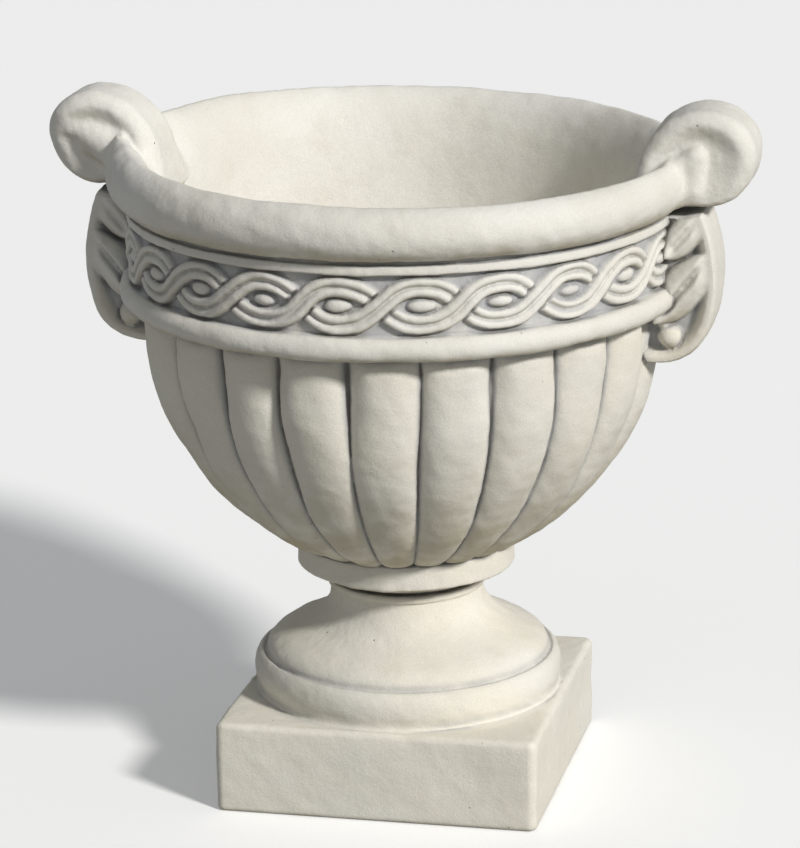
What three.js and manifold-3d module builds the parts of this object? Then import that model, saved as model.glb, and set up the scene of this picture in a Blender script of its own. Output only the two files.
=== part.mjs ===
// Classical cast-stone urn planter: a gadrooned bowl with a guilloche frieze, two scroll handles
// and two leaf brackets, bedded on a socle with a square plinth.
// Millimetres, +Z up. The origin is the centre of the plinth's underside, the handles lie along X,
// and the front faces -Y.

import * as THREE from 'three';
import { mergeVertices } from 'three/addons/utils/BufferGeometryUtils.js';
import Module from 'manifold-3d';

const wasm = await Module();
wasm.setup();
const { Manifold } = wasm;

// ---------- Joints between the pieces ----------
const fit = 0.3; // clearance round a seated casting, a dowel or the spigot
const bedThickness = 3; // mortar bed between the foot and the bowl
const bedSetback = 4; // the mortar stays behind the edge of the seat

// ---------- Foot: plinth and socle in one casting, cored from below ----------
const plinthWidth = 300;
const plinthHeight = 85.5;
const plinthEdge = 6; // worn edges
const plinthCorner = 8;
const socleMargin = 5.7; // from the torus to the plinth's faces
const socleTorusHeight = 37;
const socleTorusBulge = 12;
const socleFillet = 5; // soft run of the torus into the plinth
const bellStep = 13; // step from the torus to the bell
const bellHeight = 60.5;
const neckRadius = 71.5;
const beadRadius = 74;
const beadHeight = 8.5;
const footWall = 38; // stone left round the core at the underside
const coreTaper = 8; // draft of the core inside the plinth
const crownThickness = 47.5; // stone left above the core
const coreNeckInset = 13.5; // of the core's roof, behind the neck

// ---------- Spigot tube: centres the bowl on the foot and drains it ----------
const spigotOuterRadius = 15;
const spigotWall = 2.5;
const spigotDrop = 6; // how far it hangs into the core
const spigotHeadroom = 2; // how far it stays below the bowl's floor

// ---------- Bowl: collar and gadroons ----------
const bowlRadius = 244.5; // ground of the frieze, from which the mouldings stand out
const seatInset = 4.5; // the seat lies inside the bead
const coveHeight = 11; // hollow under the collar
const collarRadius = 101;
const collarHeight = 25;
const gadroonCount = 22;
const gadroonInset = 7; // widest crest of the lobes behind the ground of the frieze
const gadroonHeight = 214.5; // from the collar to the widest crest
const gadroonRoot = 3; // the lobes start inside the collar
const gadroonCap = 18.5; // rounded upper end of a lobe
const gadroonCapInset = 15;
const grooveDepthTop = 9.5;
const grooveDepthFoot = 6;
const bowlWall = 29.5;
const floorThickness = 49.5;
const floorRadius = 42; // flat round the drain

// ---------- Bowl: lower torus, frieze and fillet ----------
const waistInset = 13.5; // recess between the lobes and the lower torus
const bowlTorusProjection = 14.5;
const bowlTorusHeight = 21.5;
const bowlTorusBulge = 10;
const friezeHeight = 55;
const friezeDraft = 0.5;
const filletProjection = 7;
const filletHeight = 9;
const quirkProjection = 3; // groove under the rim
const quirkHeight = 3;

// ---------- Guilloche: two strands that cross between the eyes ----------
const eyeCount = gadroonCount; // an eye stands above every groove
const strandWidth = 16;
const strandHeight = 5.2;
const strandGroove = 2.2; // groove between a strand's two ribs
const strandSwing = 17.3; // centre line above and below the middle of the frieze
const strandSteepness = 0.06; // share of the third harmonic, which rounds the loops
const strandLift = 1.6; // upper strand over lower strand at a crossing
const strandSink = 3; // rooted below the ground of the frieze
const stepsPerEye = 4;
const eyeLength = 24;
const eyeHeight = 13;
const eyeRelief = 5;

// ---------- Rim ----------
const rimProjection = 25;
const rimHeight = 51;
const rimBulge = 24.5;
const rimCrestInset = 19.5; // crest behind the widest line of the roll
const rimLift = 6; // rise of the crest towards the handles
const flareDepth = 50; // height over which the inner wall opens to the crest
const flareSetback = 3.5; // inner wall at the start of the flare, behind the frieze's wall

// ---------- Scroll handles ----------
const scrollWidth = 70;
const scrollEdge = 8; // rounded edges of the band
const scrollOverhang = 60; // reach beyond the widest line of the rim
const scrollHalfLength = 47.5;
const scrollHalfHeight = 44;
const scrollRise = 43.5; // above the rim's crest at the front
const scrollBack = 3; // lean of the band's inner face towards the bowl
const dishLength = 60;
const dishHeight = 54;
const dishDepth = 9;
const dishOffset = 6; // dish towards the outer edge of the scroll
const scrollEyeLength = 42;
const scrollEyeHeight = 25;
const scrollEyeRelief = 5;
const scrollEyeTilt = 38; // degrees

// ---------- Leaf brackets ----------
const bracketWidth = 62;
const bracketEdge = 6;
const bracketSeatProjection = 1.5; // flat seat cut across the frieze and the lower torus
const bracketOverhang = 14.5; // outer face at the top, beyond the rim
const bracketBelly = 15; // swell of the outer face beyond the shoulder
const bracketKneeDrop = 25.5; // below the waist
const bracketHeelDrop = 52.5;
const bracketTipInset = 8.5; // behind the widest crest of the lobes
const bracketTipHeight = 14; // flat of the tip against the lobes
const bracketSlot = 4.5; // between the bracket and the scroll
const bracketTopRound = 4; // rounded top edge of the outer face
const leafRelief = 6;
const upperLeafLength = 36;
const upperLeafHeight = 24;
const upperLeafReach = 19; // from the seat to its middle
const upperLeafDrop = 10; // below the top of the frieze
const upperLeafTilt = 12; // degrees
const lowerLeafLength = 52;
const lowerLeafHeight = 30;
const lowerLeafReach = 20;
const lowerLeafLift = 1; // above the top of the lower torus
const lowerLeafTilt = 52; // degrees
const berryDiameter = 21;
const berryReach = 5;
const berryDrop = 23; // below the waist

// ---------- Dowels ----------
const dowelRadius = 5;
const dowelSides = 12;
const scrollDowelLength = 72;
const scrollDowelDepth = 38; // part of it that sits in the bowl
const scrollDowelSpacing = 40;
const bracketDowelLength = 50;
const bracketDowelDepth = 23;
const dowelEndGap = 0.5;

// ---------- Facets ----------
const roundSides = 44;
const cavitySides = 32;
const footSides = 36;
const boreSides = 12;
const smallestFacet = 0.1; // slivers below this size are merged

// ---------- Radii that follow from the sizes above ----------
const socleTorusRadius = plinthWidth / 2 - socleMargin;
const seatRadius = beadRadius - seatInset;
const gadroonRadius = bowlRadius - gadroonInset;
const waistRadius = bowlRadius - waistInset;
const bowlTorusRadius = bowlRadius + bowlTorusProjection;
const filletRadius = bowlRadius + filletProjection;
const quirkRadius = bowlRadius + quirkProjection;
const rimRadius = bowlRadius + rimProjection;
const flareRadius = bowlRadius - bowlWall + flareSetback;
const bracketSeatX = bowlRadius + bracketSeatProjection;
const bracketShoulderX = rimRadius + bracketOverhang;

// ---------- Heights that follow from the sizes above ----------
const socleTorusTop = plinthHeight + socleTorusHeight;
const bellTop = socleTorusTop + bellHeight;
const footTop = bellTop + beadHeight;
const bowlBase = footTop + bedThickness;
const collarBottom = bowlBase + coveHeight;
const collarTop = collarBottom + collarHeight;
const shoulderHeight = collarTop + gadroonHeight;
const waistHeight = shoulderHeight + gadroonCap;
const bowlTorusTop = waistHeight + bowlTorusHeight;
const friezeTop = bowlTorusTop + friezeHeight;
const filletTop = friezeTop + filletHeight;
const rimBase = filletTop + quirkHeight;
const rimTop = rimBase + rimHeight;
const floorHeight = bowlBase + floorThickness;
const coreRoof = footTop - crownThickness;
const scrollCentreX = rimRadius + scrollOverhang - scrollHalfLength;
const scrollCentreZ = rimTop + scrollRise - scrollHalfHeight;
const scrollBottom = scrollCentreZ - scrollHalfHeight;
const bracketTop = scrollBottom - bracketSlot;
const bracketUnderRim = filletTop + quirkHeight / 2 - fit;
const bracketHeelZ = waistHeight - bracketHeelDrop;

// ---------- Curves in a profile, as lists of [across, up] ----------

function arc(centreX, centreZ, radiusX, radiusZ, fromDegrees, toDegrees, steps) {
  const points = [];
  for (let i = 0; i <= steps; i += 1) {
    const angle = THREE.MathUtils.degToRad(fromDegrees + (toDegrees - fromDegrees) * (i / steps));
    points.push([centreX + radiusX * Math.cos(angle), centreZ + radiusZ * Math.sin(angle)]);
  }
  return points;
}

function bend(start, control1, control2, end, steps) {
  const toVector = ([x, z]) => new THREE.Vector2(x, z);
  const curve = new THREE.CubicBezierCurve(
    toVector(start),
    toVector(control1),
    toVector(control2),
    toVector(end),
  );
  return curve.getPoints(steps).map((point) => [point.x, point.y]);
}

// ---------- Solids ----------

function solid(geometry) {
  geometry.deleteAttribute('normal');
  geometry.deleteAttribute('uv');
  const merged = mergeVertices(geometry, 1e-5);
  return new Manifold(
    new wasm.Mesh({
      numProp: 3,
      vertProperties: new Float32Array(merged.attributes.position.array),
      triVerts: new Uint32Array(merged.index.array),
    }),
  );
}

function revolve(profile, sides) {
  const points = profile.map(([radius, height]) => new THREE.Vector2(radius, height));
  const geometry = new THREE.LatheGeometry(points, sides);
  geometry.rotateX(Math.PI / 2);
  return solid(geometry);
}

function extrudeAcross(outline, width, edge, steps) {
  const shape = new THREE.Shape(outline.map(([x, z]) => new THREE.Vector2(x, z)));
  const geometry = new THREE.ExtrudeGeometry(shape, {
    depth: width - 2 * edge,
    bevelEnabled: edge > 0,
    bevelThickness: edge,
    bevelSize: edge,
    bevelOffset: -edge,
    bevelSegments: steps,
    curveSegments: 1,
  });
  geometry.translate(0, 0, edge - width / 2);
  geometry.rotateX(Math.PI / 2);
  return solid(geometry);
}

function block(low, high) {
  const size = high.map((value, axis) => value - low[axis]);
  return Manifold.cube(size).translate(low);
}

function ball(lengths, around, along) {
  const geometry = new THREE.SphereGeometry(0.5, around, along);
  geometry.scale(...lengths);
  return solid(geometry);
}

function rod(radius, length, sides) {
  return solid(new THREE.CylinderGeometry(radius, radius, length, sides).rotateX(Math.PI / 2));
}

function join(...solids) {
  return Manifold.union(solids);
}

// ---------- Foot ----------

function plinth() {
  const half = plinthWidth / 2;
  const outline = new THREE.Shape();
  outline.moveTo(-half + plinthCorner, -half);
  outline.lineTo(half - plinthCorner, -half);
  outline.quadraticCurveTo(half, -half, half, -half + plinthCorner);
  outline.lineTo(half, half - plinthCorner);
  outline.quadraticCurveTo(half, half, half - plinthCorner, half);
  outline.lineTo(-half + plinthCorner, half);
  outline.quadraticCurveTo(-half, half, -half, half - plinthCorner);
  outline.lineTo(-half, -half + plinthCorner);
  outline.quadraticCurveTo(-half, -half, -half + plinthCorner, -half);
  const geometry = new THREE.ExtrudeGeometry(outline, {
    depth: plinthHeight - 2 * plinthEdge,
    bevelThickness: plinthEdge,
    bevelSize: plinthEdge,
    bevelOffset: -plinthEdge,
    bevelSegments: 2,
    curveSegments: 2,
  });
  geometry.translate(0, 0, plinthEdge);
  return solid(geometry);
}

function socle() {
  const torusCentre = socleTorusRadius - socleTorusBulge;
  const bellRadius = socleTorusRadius - bellStep;
  const halfTorus = socleTorusHeight / 2;
  return revolve(
    [
      [0, plinthHeight - plinthEdge],
      [torusCentre + socleFillet, plinthHeight - plinthEdge],
      [torusCentre + socleFillet, plinthHeight],
      ...arc(torusCentre, plinthHeight + halfTorus, socleTorusBulge, halfTorus, -62, 90, 5),
      [bellRadius, socleTorusTop],
      ...bend(
        [bellRadius, socleTorusTop + 1],
        [bellRadius - 7, socleTorusTop + 0.37 * bellHeight],
        [neckRadius + 1, bellTop - 0.63 * bellHeight],
        [neckRadius, bellTop],
        7,
      ),
      [beadRadius, bellTop + 2],
      [beadRadius, footTop - 2],
      [beadRadius - 2, footTop],
      [0, footTop],
    ],
    footSides,
  );
}

function core() {
  const below = 1;
  return revolve(
    [
      [0, -below],
      [plinthWidth / 2 - footWall, -below],
      [plinthWidth / 2 - footWall - coreTaper, plinthHeight],
      [neckRadius - coreNeckInset, coreRoof],
      [0, coreRoof],
    ],
    footSides / 2,
  );
}

function spigotBore(bottom, top) {
  const bore = rod(spigotOuterRadius + fit, top - bottom, boreSides);
  return bore.translate([0, 0, (bottom + top) / 2]);
}

function footSolid() {
  return join(plinth(), socle()).subtract(core()).subtract(spigotBore(coreRoof - 1, footTop + 1));
}

// ---------- Bowl ----------

function collar() {
  return revolve(
    [
      [0, bowlBase],
      [seatRadius, bowlBase],
      [seatRadius + 6, bowlBase + 0.5 * coveHeight],
      [collarRadius - 3, collarBottom],
      [collarRadius, collarBottom + 3],
      [collarRadius, collarTop - 3],
      [collarRadius - 4, collarTop],
      [0, collarTop],
    ],
    footSides,
  );
}

// A row of the gadroons: crest radius, height, depth of the groove and how square the lobe is.
function gadroonRows(grow) {
  const start = Math.acos(collarRadius / gadroonRadius);
  const ellipseHeight = (gadroonHeight + gadroonRoot) / Math.sin(start);
  const steps = 6;
  const rows = [];
  for (let i = 0; i <= steps; i += 1) {
    const angle = start * (1 - i / steps);
    const blend = i / steps;
    rows.push({
      radius: gadroonRadius * Math.cos(angle) + grow,
      height: shoulderHeight - ellipseHeight * Math.sin(angle),
      depth: grooveDepthFoot + (grooveDepthTop - grooveDepthFoot) * blend,
      power: 2 + 1.2 * Math.sqrt(blend),
    });
  }
  const capStart = gadroonRadius - gadroonCapInset;
  for (const [radius, height] of arc(capStart, shoulderHeight, gadroonCapInset, gadroonCap, 30, 90, 2)) {
    rows.push({ radius: radius + grow, height, depth: grooveDepthTop, power: 3 });
  }
  return rows;
}

function gadroons(grow) {
  const samples = 4; // across one lobe, from groove to groove
  const columns = gadroonCount * samples;
  const rows = gadroonRows(grow);
  const positions = [];
  for (const row of rows) {
    for (let column = 0; column < columns; column += 1) {
      const across = (column % samples) / samples; // 0 is the groove
      const fromCrest = Math.abs(2 * across - 1);
      const radius = row.radius - row.depth * fromCrest ** row.power;
      const angle = (column / columns) * 2 * Math.PI;
      positions.push(radius * Math.sin(angle), -radius * Math.cos(angle), row.height);
    }
  }
  const last = rows.length - 1;
  const bottomPole = positions.length / 3;
  positions.push(0, 0, rows[0].height);
  const topPole = bottomPole + 1;
  positions.push(0, 0, rows[last].height);
  const indices = [];
  for (let column = 0; column < columns; column += 1) {
    const next = (column + 1) % columns;
    for (let row = 0; row < last; row += 1) {
      const a = row * columns + column;
      const b = row * columns + next;
      indices.push(a, b, b + columns, a, b + columns, a + columns);
    }
    indices.push(bottomPole, next, column);
    indices.push(topPole, last * columns + column, last * columns + next);
  }
  const geometry = new THREE.BufferGeometry();
  geometry.setAttribute('position', new THREE.Float32BufferAttribute(positions, 3));
  geometry.setIndex(indices);
  return solid(geometry);
}

// The rim's crest climbs a little towards the handles.
function liftRim(bowlSolid) {
  return bowlSolid.warp((vertex) => {
    const sideways = Math.abs(vertex[0]) / Math.max(1, Math.hypot(vertex[0], vertex[1]));
    const nearHandle = THREE.MathUtils.smoothstep(sideways, 0.75, 0.98);
    const upTheRim = THREE.MathUtils.clamp((vertex[2] - rimBase) / rimHeight, 0, 1);
    vertex[2] += rimLift * nearHandle * upTheRim;
  });
}

function upperBowl(grow) {
  const torusCentre = bowlTorusRadius - bowlTorusBulge;
  const halfTorus = bowlTorusHeight / 2;
  const rimCentre = rimRadius - rimBulge;
  const body = revolve(
    [
      [0, shoulderHeight],
      [gadroonRadius - gadroonCapInset - 12, shoulderHeight],
      [gadroonRadius - gadroonCapInset - 12, waistHeight + 0.5 - grow],
      [waistRadius, waistHeight + 0.5 - grow],
      ...arc(
        torusCentre,
        waistHeight + halfTorus,
        bowlTorusBulge + grow,
        halfTorus + grow,
        -86,
        86,
        4,
      ),
      [bowlRadius + grow, bowlTorusTop],
      [bowlRadius + friezeDraft + grow, friezeTop],
      [filletRadius + grow, friezeTop + 1 - grow],
      [filletRadius + grow, filletTop],
      [quirkRadius + grow, filletTop + quirkHeight / 2],
      [quirkRadius + grow, rimBase],
      ...arc(rimCentre, rimBase + rimHeight / 2, rimBulge + grow, rimHeight / 2 + grow, -78, 90, 6),
      [0, rimTop + grow],
    ],
    roundSides,
  );
  return liftRim(body);
}

function cavity() {
  const innerRadius = gadroonRadius - bowlWall;
  const innerDepth = shoulderHeight - floorHeight;
  const floorAngle = THREE.MathUtils.radToDeg(Math.acos(floorRadius / innerRadius));
  const wall = arc(0, shoulderHeight, innerRadius, innerDepth, -floorAngle, 0, 5);
  const crest = rimRadius - rimCrestInset;
  const body = revolve(
    [
      [0, wall[0][1]],
      ...wall,
      [bowlRadius - bowlWall, friezeTop],
      ...bend(
        [flareRadius, rimTop - flareDepth],
        [flareRadius + 5, rimTop - 0.45 * flareDepth],
        [crest - 14, rimTop - 0.1 * flareDepth],
        [crest, rimTop],
        4,
      ),
      [crest + 8, rimTop + 10],
      [0, rimTop + 10],
    ],
    cavitySides,
  );
  return liftRim(body);
}

// ---------- Guilloche ----------

// Height of a strand above the middle of the frieze, at a place counted in eyes.
function strandRise(place, side) {
  const turn = Math.PI * place;
  const wave = (1 + strandSteepness) * Math.cos(turn) - strandSteepness * Math.cos(3 * turn);
  return side * strandSwing * wave;
}

function strand(side) {
  const steps = eyeCount * stepsPerEye;
  const half = strandWidth / 2;
  const section = [
    [-half, -strandSink],
    [-0.62 * half, strandHeight],
    [0, strandHeight - strandGroove],
    [0.62 * half, strandHeight],
    [half, -strandSink],
  ];
  const middle = (bowlTorusTop + friezeTop) / 2;
  const arcPerEye = (2 * Math.PI * bowlRadius) / eyeCount;
  const positions = [];
  for (let step = 0; step < steps; step += 1) {
    const place = step / stepsPerEye;
    const nearby = 0.01;
    const climb = strandRise(place + nearby, side) - strandRise(place - nearby, side);
    const slope = Math.atan2(climb, 2 * nearby * arcPerEye);
    const lift = -side * strandLift * Math.sin(Math.PI * place);
    for (const [across, relief] of section) {
      const angle = (2 * Math.PI * place) / eyeCount - (across * Math.sin(slope)) / bowlRadius;
      const height = middle + strandRise(place, side) + across * Math.cos(slope);
      const radius = bowlRadius + relief + (relief > 0 ? lift : 0);
      positions.push(radius * Math.sin(angle), -radius * Math.cos(angle), height);
    }
  }
  const indices = [];
  const count = section.length;
  for (let step = 0; step < steps; step += 1) {
    const next = (step + 1) % steps;
    for (let i = 0; i < count; i += 1) {
      const j = (i + 1) % count;
      const a = step * count + i;
      const b = step * count + j;
      const c = next * count + j;
      const d = next * count + i;
      indices.push(a, d, c, a, c, b);
    }
  }
  const geometry = new THREE.BufferGeometry();
  geometry.setAttribute('position', new THREE.Float32BufferAttribute(positions, 3));
  geometry.setIndex(indices);
  return solid(geometry);
}

function guillocheEyes() {
  const middle = (bowlTorusTop + friezeTop) / 2;
  const eyes = [];
  for (let i = 0; i < eyeCount; i += 1) {
    const eye = ball([eyeLength, 2 * eyeRelief, eyeHeight], 6, 4);
    const degrees = (i * 360) / eyeCount;
    eyes.push(eye.translate([0, -bowlRadius, middle]).rotate([0, 0, degrees]));
  }
  return eyes;
}

// ---------- Seats cut in the bowl for the handles ----------

function scrollNotch(clearance) {
  const half = scrollWidth / 2 + clearance;
  return block([0, -half, rimBase - clearance], [2 * rimRadius, half, 2 * rimTop]);
}

function bracketHalfSpan() {
  return bracketWidth / 2 + leafRelief;
}

function bracketPad() {
  const half = bracketHalfSpan() + 1;
  return block([flareRadius, -half, bowlTorusTop - 2], [bracketSeatX, half, friezeTop + 1]);
}

function bracketNotch() {
  const half = bracketHalfSpan() + 1;
  const top = filletTop + quirkHeight / 2;
  return block([bracketSeatX, -half, waistHeight - 1], [2 * rimRadius, half, top]);
}

// ---------- Dowels: straight pins across the joints ----------

function scrollDowelX() {
  return (flareRadius + quirkRadius) / 2 + 1;
}

function scrollDowelPlaces() {
  const bottom = rimBase - scrollDowelDepth;
  return [-1, 1].map((side) => [
    scrollDowelX(),
    (side * scrollDowelSpacing) / 2,
    bottom + scrollDowelLength / 2,
  ]);
}

function bracketDowelPlaces() {
  const middle = bracketSeatX - bracketDowelDepth + bracketDowelLength / 2;
  const upper = friezeTop - 14;
  const lower = (waistHeight + bowlTorusTop) / 2;
  return [upper, lower].map((height) => [middle, 0, height]);
}

function uprightDowel(grow, endGap) {
  return rod(dowelRadius + grow, scrollDowelLength + 2 * endGap, dowelSides);
}

function levelDowel(grow, endGap) {
  return rod(dowelRadius + grow, bracketDowelLength + 2 * endGap, dowelSides).rotate([0, 90, 0]);
}

function dowelHoles() {
  return [
    ...scrollDowelPlaces().map((place) => uprightDowel(fit, dowelEndGap).translate(place)),
    ...bracketDowelPlaces().map((place) => levelDowel(fit, dowelEndGap).translate(place)),
  ];
}

const bowlCavity = cavity();

function bowlSolid() {
  const cuts = [scrollNotch(fit), bracketNotch(), ...dowelHoles()];
  const bothSides = cuts.flatMap((cut) => [cut, cut.rotate([0, 0, 180])]);
  const pads = [bracketPad(), bracketPad().rotate([0, 0, 180])];
  const body = join(collar(), gadroons(0), upperBowl(0), ...pads);
  return join(body, strand(1), strand(-1), ...guillocheEyes())
    .subtract(bowlCavity)
    .subtract(spigotBore(bowlBase - 1, floorHeight + floorThickness))
    .subtract(join(...bothSides));
}

// ---------- Scroll handle: a band that rises from the inner wall and rolls outwards ----------

function scrollOutline() {
  const top = scrollCentreZ + scrollHalfHeight;
  return [
    ...bend(
      [flareRadius - 2, rimBase],
      [flareRadius - scrollBack, rimTop],
      [scrollCentreX - 0.84 * scrollHalfLength, top],
      [scrollCentreX, top],
      6,
    ),
    ...arc(scrollCentreX, scrollCentreZ, scrollHalfLength, scrollHalfHeight, 72, -90, 9),
    [rimRadius - 2, scrollBottom + 1],
    [rimRadius - 10, rimBase],
  ];
}

function scrollDish(side) {
  const dish = ball([dishLength, 2 * dishDepth, dishHeight], 10, 6);
  return dish.translate([scrollCentreX + dishOffset, (side * scrollWidth) / 2, scrollCentreZ]);
}

// The inner coil of the scroll, where the rim's roll turns into its side.
function scrollEye(side) {
  const reach = scrollWidth / 2 - dishDepth / 2;
  const size = [scrollEyeLength, dishDepth + 2 * scrollEyeRelief, scrollEyeHeight];
  return ball(size, 8, 6)
    .rotate([0, -scrollEyeTilt, 0])
    .translate([scrollCentreX - 3, side * reach, scrollCentreZ - 4]);
}

function scrollSolid() {
  const rim = upperBowl(0).intersect(scrollNotch(0));
  const band = extrudeAcross(scrollOutline(), scrollWidth, scrollEdge, 2);
  const dished = join(band, rim).subtract(join(scrollDish(-1), scrollDish(1)));
  const outside = upperBowl(fit).subtract(scrollNotch(0));
  const eyes = join(scrollEye(-1), scrollEye(1)).subtract(outside);
  const seat = block([0, -scrollWidth, 0], [2 * rimRadius, scrollWidth, rimBase]);
  const holes = scrollDowelPlaces().map((place) => uprightDowel(fit, dowelEndGap).translate(place));
  return join(dished, eyes).subtract(join(bowlCavity, seat, ...holes));
}

// ---------- Leaf bracket: a strap that curls from under the scroll to the gadroons ----------

function bracketOutline() {
  const seatX = bracketSeatX + fit;
  const shoulderZ = bracketTop - bracketTopRound;
  const kneeZ = waistHeight - bracketKneeDrop;
  const faceHeight = shoulderZ - kneeZ;
  const bellyX = bracketShoulderX + bracketBelly;
  const tipX = gadroonRadius - bracketTipInset;
  const heelRun = bracketShoulderX - tipX;
  const outerFace = bend(
    [bracketShoulderX, shoulderZ],
    [bellyX - 2, shoulderZ - 0.31 * faceHeight],
    [bellyX + 1, kneeZ + 0.29 * faceHeight],
    [bracketShoulderX, kneeZ],
    5,
  );
  const heel = bend(
    [bracketShoulderX, kneeZ],
    [bracketShoulderX - 0.18 * heelRun, kneeZ - 0.74 * (kneeZ - bracketHeelZ)],
    [bracketShoulderX - 0.53 * heelRun, bracketHeelZ - 2],
    [tipX, bracketHeelZ],
    4,
  );
  return [
    [seatX, bracketUnderRim],
    [rimRadius - 8, bracketUnderRim],
    [rimRadius + 4, bracketTop - 1.5],
    [bracketShoulderX - 3, bracketTop],
    ...outerFace,
    ...heel.slice(1),
    [tipX - 6, bracketHeelZ + bracketTipHeight],
    [tipX - 6, waistHeight],
    [seatX, waistHeight],
  ];
}

// Two leaves and a berry, raised from each side of the strap.
const bracketRelief = [
  {
    x: bracketSeatX + upperLeafReach,
    z: friezeTop - upperLeafDrop,
    length: upperLeafLength,
    height: upperLeafHeight,
    tilt: upperLeafTilt,
  },
  {
    x: bracketSeatX + lowerLeafReach,
    z: bowlTorusTop + lowerLeafLift,
    length: lowerLeafLength,
    height: lowerLeafHeight,
    tilt: lowerLeafTilt,
  },
  {
    x: bracketSeatX + berryReach,
    z: waistHeight - berryDrop,
    length: berryDiameter,
    height: berryDiameter,
    tilt: 0,
  },
];

function bracketLeaves(side) {
  return bracketRelief.map(({ x, z, length, height, tilt }) =>
    ball([length, 2 * leafRelief, height], 8, 4)
      .rotate([0, -tilt, 0])
      .translate([x, (side * bracketWidth) / 2, z]),
  );
}

function bracketSolid() {
  const strap = extrudeAcross(bracketOutline(), bracketWidth, bracketEdge, 2);
  const leaves = join(...bracketLeaves(-1), ...bracketLeaves(1));
  const bowlSide = join(
    upperBowl(fit).subtract(bracketNotch().translate([fit, 0, 0])),
    gadroons(fit),
  );
  const behindSeat = block(
    [0, -bracketWidth, waistHeight],
    [bracketSeatX + fit, bracketWidth, 2 * rimTop],
  );
  const holes = bracketDowelPlaces().map((place) => levelDowel(fit, dowelEndGap).translate(place));
  return join(strap, leaves).subtract(join(bowlSide, behindSeat, ...holes));
}

// ---------- Bed and spigot ----------

function bedSolid() {
  const ring = rod(seatRadius - bedSetback, bedThickness, footSides);
  const hole = rod(spigotOuterRadius + fit, 2 * bedThickness, boreSides);
  return ring.subtract(hole).translate([0, 0, footTop + bedThickness / 2]);
}

function spigotSolid() {
  const bottom = coreRoof - spigotDrop;
  const top = floorHeight - spigotHeadroom;
  const length = top - bottom;
  const tube = rod(spigotOuterRadius, length, boreSides);
  const bore = rod(spigotOuterRadius - spigotWall, 2 * length, boreSides);
  return tube.subtract(bore).translate([0, 0, (bottom + top) / 2]);
}

// ---------- Scene ----------

const castStone = { color: 0xe4ddcb, roughness: 0.9, metalness: 0 };
const mortar = { color: 0xa9a398, roughness: 0.95, metalness: 0 };
const stainless = { color: 0xb9bcbf, roughness: 0.35, metalness: 1 };
const plastic = { color: 0x6f7476, roughness: 0.6, metalness: 0 };

function node(name, shape, finish) {
  const { vertProperties, triVerts } = shape.simplify(smallestFacet).getMesh();
  const geometry = new THREE.BufferGeometry();
  geometry.setAttribute('position', new THREE.Float32BufferAttribute(vertProperties, 3));
  geometry.setIndex(new THREE.Uint32BufferAttribute(triVerts, 1));
  geometry.computeVertexNormals();
  const mesh = new THREE.Mesh(geometry, new THREE.MeshStandardMaterial(finish));
  mesh.name = name;
  return mesh;
}

function bodyNodes() {
  return [
    node('pedestal_foot', footSolid(), castStone),
    node('mortar_bed_ring', bedSolid(), mortar),
    node('drain_spigot_tube', spigotSolid(), plastic),
    node('urn_bowl', bowlSolid(), castStone),
  ];
}

function handleNodes(side, degrees) {
  const handle = new THREE.Group();
  handle.rotation.z = THREE.MathUtils.degToRad(degrees);
  handle.add(node(`scroll_handle_${side}`, scrollSolid(), castStone));
  handle.add(node(`leaf_bracket_${side}`, bracketSolid(), castStone));
  scrollDowelPlaces().forEach((place, i) => {
    const pin = node(`scroll_dowel_${side}_${i + 1}`, uprightDowel(0, 0), stainless);
    pin.position.set(...place);
    handle.add(pin);
  });
  bracketDowelPlaces().forEach((place, i) => {
    const pin = node(`bracket_dowel_${side}_${i + 1}`, levelDowel(0, 0), stainless);
    pin.position.set(...place);
    handle.add(pin);
  });
  return handle;
}

const urnPlanter = new THREE.Group();
urnPlanter.add(...bodyNodes());
urnPlanter.add(handleNodes('right', 0));
urnPlanter.add(handleNodes('left', 180));

export default urnPlanter;
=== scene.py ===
import math

import bpy
import numpy as np
from mathutils import Matrix, Vector
from mathutils.bvhtree import BVHTree


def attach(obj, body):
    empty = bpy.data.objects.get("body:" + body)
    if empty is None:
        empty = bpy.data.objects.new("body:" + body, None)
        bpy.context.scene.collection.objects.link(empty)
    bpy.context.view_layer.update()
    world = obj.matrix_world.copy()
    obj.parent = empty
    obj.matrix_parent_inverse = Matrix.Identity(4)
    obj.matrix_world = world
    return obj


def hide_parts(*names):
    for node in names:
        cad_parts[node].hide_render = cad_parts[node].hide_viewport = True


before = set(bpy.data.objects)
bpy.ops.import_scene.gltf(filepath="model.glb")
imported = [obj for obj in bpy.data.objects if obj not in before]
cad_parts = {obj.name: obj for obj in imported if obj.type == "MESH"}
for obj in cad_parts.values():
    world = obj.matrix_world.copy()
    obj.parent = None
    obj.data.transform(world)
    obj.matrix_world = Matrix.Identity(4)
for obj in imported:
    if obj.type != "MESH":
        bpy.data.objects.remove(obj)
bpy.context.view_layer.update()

# Looks of a cast-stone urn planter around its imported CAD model. Shapes are worked out in
# millimetres and turned into metres when a mesh is made. Angles round the urn start at the front,
# which faces -Y, and grow towards +X.

MM = 0.001
TURN = 2 * math.pi

# ---------- Foot ----------
PLINTH_HALF = 150.0
PLINTH_HEIGHT = 85.5
PLINTH_EDGE = 6.0
PLINTH_CORNER = 8.0
SOCLE_TORUS_CENTRE = 132.3
SOCLE_TORUS_BULGE = 12.0
SOCLE_TORUS_HEIGHT = 37.0
BELL_FOOT_RADIUS = 131.3
BELL_TOP = 183.0
NECK_RADIUS = 71.5
BEAD_RADIUS = 74.0
FOOT_TOP = 191.5
CORE_MOUTH_RADIUS = 112.0
CORE_NECK_RADIUS = 104.0
CORE_ROOF_RADIUS = 58.0
CORE_ROOF = 144.0
BORE_RADIUS = 15.3
UNDER_EDGE = 4.0
UNDER_EDGE_HEIGHT = 5.0
CORNER_LOSS = 0.8
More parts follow.
